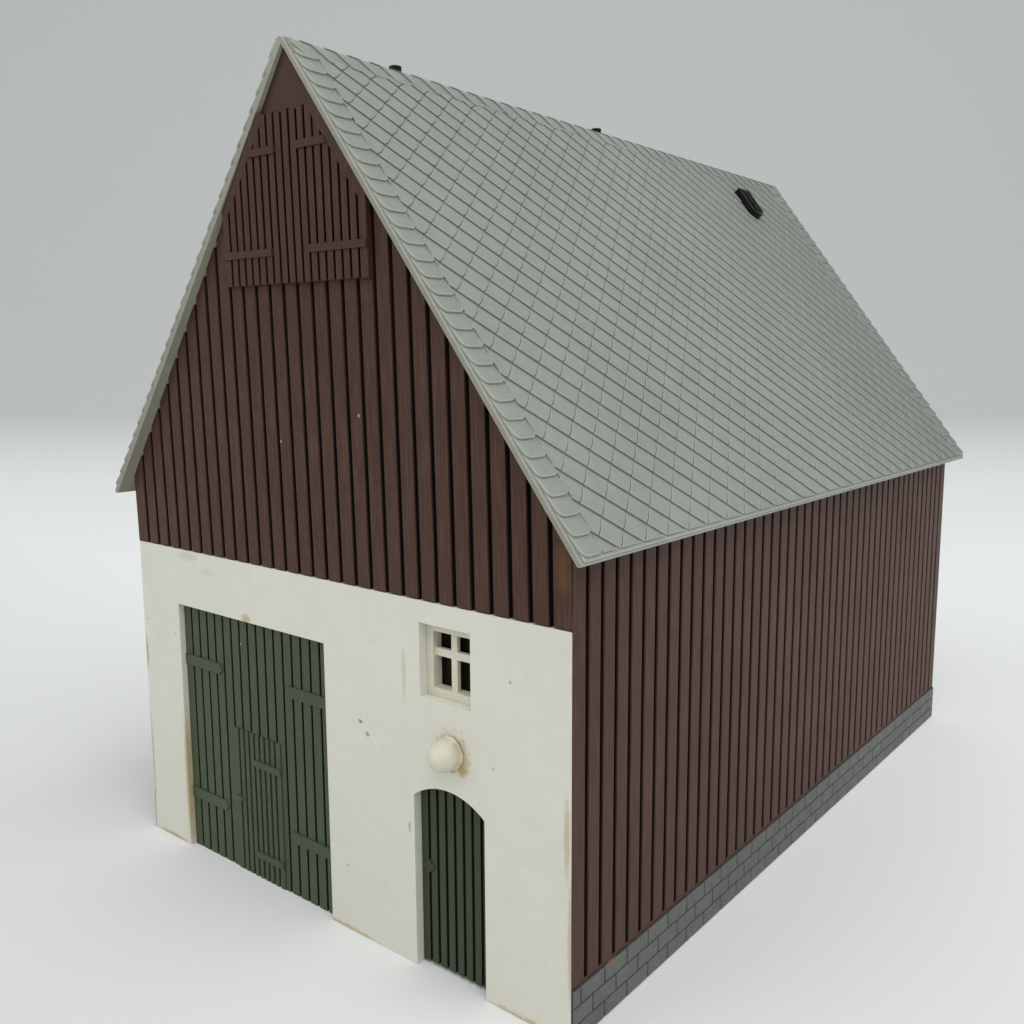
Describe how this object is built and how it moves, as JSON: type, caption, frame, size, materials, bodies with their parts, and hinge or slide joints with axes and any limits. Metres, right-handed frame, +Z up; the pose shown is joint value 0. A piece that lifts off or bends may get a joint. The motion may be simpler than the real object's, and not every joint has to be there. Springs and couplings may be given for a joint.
{
  "type": "model railway barn",
  "caption": "Glued plastic scale-model barn: rendered front with gate, arched door and window, boarded gables and walls on a stone plinth, steep slated roof.",
  "frame": {"origin": "on the ground, in the middle of the model's bounding box", "axes": "+X to the right across the front, +Y from the front gable to the rear along the ridge, +Z up"},
  "size_m": [0.0832, 0.1248, 0.1067],
  "materials": {
    "render_cream": "smooth cream polystyrene, faint glue stains",
    "boards_brown": "matt dark red-brown polystyrene, moulded boards",
    "stone_grey": "matt mid-grey polystyrene, moulded stones",
    "doors_green": "matt muted dark green polystyrene",
    "window_cream": "smooth cream polystyrene",
    "pane_clear": "clear polystyrene",
    "lamp_ivory": "ivory polystyrene, slightly glossy",
    "slates_grey": "matt pale green-grey polystyrene, moulded slates",
    "fittings_black": "semi-gloss black polystyrene"
  },
  "bodies": {
    "root": {"front_render_wall": "render_cream", "front_gable_wall": "boards_brown", "side_wall_right": "boards_brown", "side_wall_left": "boards_brown", "rear_gable_wall": "boards_brown", "plinth_right": "stone_grey", "plinth_left": "stone_grey", "plinth_rear": "stone_grey", "barn_gate": "doors_green", "arched_door": "doors_green", "window_frame": "window_cream", "window_pane": "pane_clear", "lamp_globe": "lamp_ivory", "roof_right": "slates_grey", "roof_left": "slates_grey", "roof_hatch": "fittings_black", "vent_pipe_front": "fittings_black", "vent_pipe_middle": "fittings_black"}
  },
  "joints": []
}
